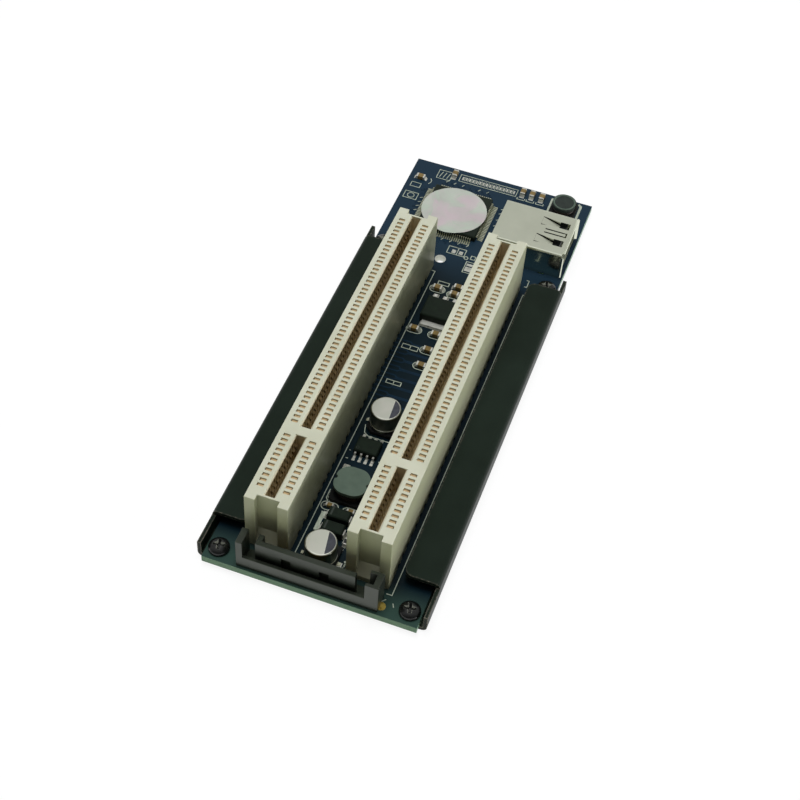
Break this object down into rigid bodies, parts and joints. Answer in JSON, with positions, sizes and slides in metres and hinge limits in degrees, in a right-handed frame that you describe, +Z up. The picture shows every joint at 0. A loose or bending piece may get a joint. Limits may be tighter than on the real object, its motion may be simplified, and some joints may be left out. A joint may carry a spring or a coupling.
{
  "type": "card slot adapter board",
  "caption": "Narrow circuit board in black side rails with upright card slots, a power plug at the front and a data socket and bridge chip at the rear, to run add-in cards over a cable.",
  "frame": {"origin": "middle of the board's length and width, on the plane the side rails rest on", "axes": "+Z up out of the board's component side, +Y along the board from the power plug to the data socket end, +X across the board towards the data socket's mouth"},
  "size_m": [0.0462, 0.124, 0.0169],
  "materials": {
    "navy_board": "navy solder mask on glass fibre, satin",
    "black_sheet": "black coated sheet steel, satin",
    "black_screw": "black zinc, satin",
    "cream_plastic": "moulded, matte",
    "tin": "tin plated, satin",
    "bronze": "phosphor bronze, satin",
    "nickel_sheet": "nickel plated sheet, satin",
    "black_plastic": "moulded, matte",
    "grey_plastic": "moulded, satin",
    "chip_resin": "moulded resin, matte",
    "label_paper": "plain round sticker, slight sheen",
    "grey_ferrite": "ground ferrite, matte",
    "dark_ferrite": "ferrite, matte",
    "dark_coil": "resin over winding",
    "can_aluminium": "drawn, satin",
    "tan_ceramic": "fired, satin",
    "black_ceramic": "glazed top, satin"
  },
  "bodies": {
    "root": {"main_board": "navy_board", "side_rail_left": "black_sheet", "side_rail_right": "black_sheet", "rail_screws": "black_screw", "slot_base_left": "cream_plastic", "slot_walls_left": "cream_plastic", "slot_ends_left": "cream_plastic", "slot_base_right": "cream_plastic", "slot_walls_right": "cream_plastic", "slot_ends_right": "cream_plastic", "slot_contacts_left": "bronze", "slot_contacts_right": "bronze", "usb_shell": "nickel_sheet", "usb_insulator": "black_plastic", "usb_contacts": "bronze", "power_housing": "grey_plastic", "power_contacts": "bronze", "bridge_chip_body": "chip_resin", "bridge_chip_leads": "tin", "bridge_chip_label": "label_paper", "front_choke_base": "black_plastic", "front_choke_winding": "dark_coil", "front_choke_core": "grey_ferrite", "far_choke_base": "black_plastic", "far_choke_winding": "dark_coil", "far_choke_core": "dark_ferrite", "rear_capacitor_can": "can_aluminium", "rear_capacitor_base": "black_plastic", "rear_capacitor_leads": "tin", "front_capacitor_can": "can_aluminium", "front_capacitor_base": "black_plastic", "front_capacitor_leads": "tin", "regulator_body": "chip_resin", "regulator_tab": "tin", "regulator_leads": "tin", "driver_chip_body": "chip_resin", "driver_chip_leads": "tin", "diode_bodies": "chip_resin", "diode_ends": "tin", "chip_capacitor_bodies": "tan_ceramic", "chip_capacitor_ends": "tin", "chip_resistor_bodies": "black_ceramic", "chip_resistor_ends": "tin"}
  },
  "joints": []
}
